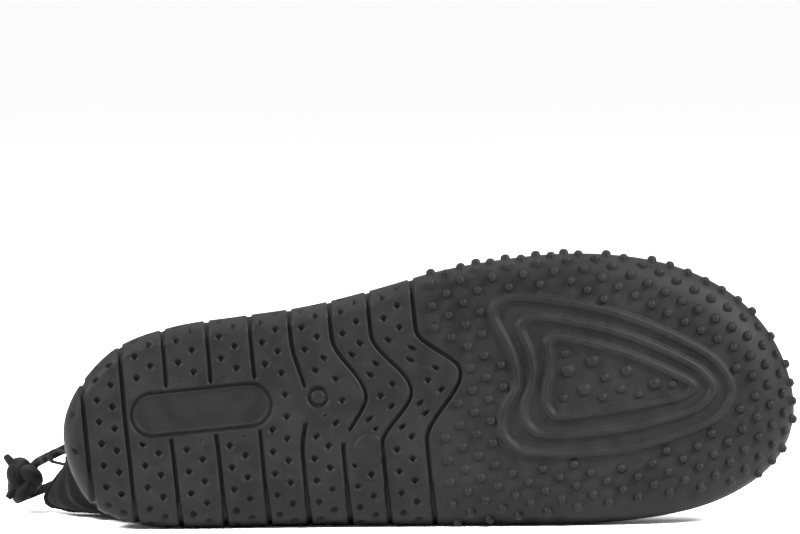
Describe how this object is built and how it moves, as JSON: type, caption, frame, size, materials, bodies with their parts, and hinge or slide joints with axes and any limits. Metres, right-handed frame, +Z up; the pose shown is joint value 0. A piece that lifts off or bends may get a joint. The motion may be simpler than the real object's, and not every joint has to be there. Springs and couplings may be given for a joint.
{
  "type": "water shoe",
  "caption": "Slip-on water shoe lying on its side: studded and ribbed rubber outsole, hollow stretch upper, bound collar with pull loop and knotted drawcord",
  "frame": {"origin": "centre of the bounding box in plan, on the floor that the shoe lies on, without the free drawcord", "axes": "+X from the heel to the toe, +Y from the sole's tread to the collar, +Z up from the floor, with the shoe lying on its medial side"},
  "size_m": [0.2992, 0.0929, 0.1016],
  "materials": {
    "sole_rubber": "matte moulded",
    "insole_foam": "matte",
    "upper_fabric": "matte knit",
    "collar_tape": "ribbed elastic",
    "loop_webbing": "woven",
    "drawcord_braid": "braided"
  },
  "bodies": {
    "root": {"outsole": "sole_rubber", "insole": "insole_foam", "upper": "upper_fabric", "collar_binding": "collar_tape", "heel_pull_loop": "loop_webbing", "drawcord_strand_upper": "drawcord_braid", "drawcord_strand_lower": "drawcord_braid", "drawcord_knot": "drawcord_braid"}
  },
  "joints": []
}
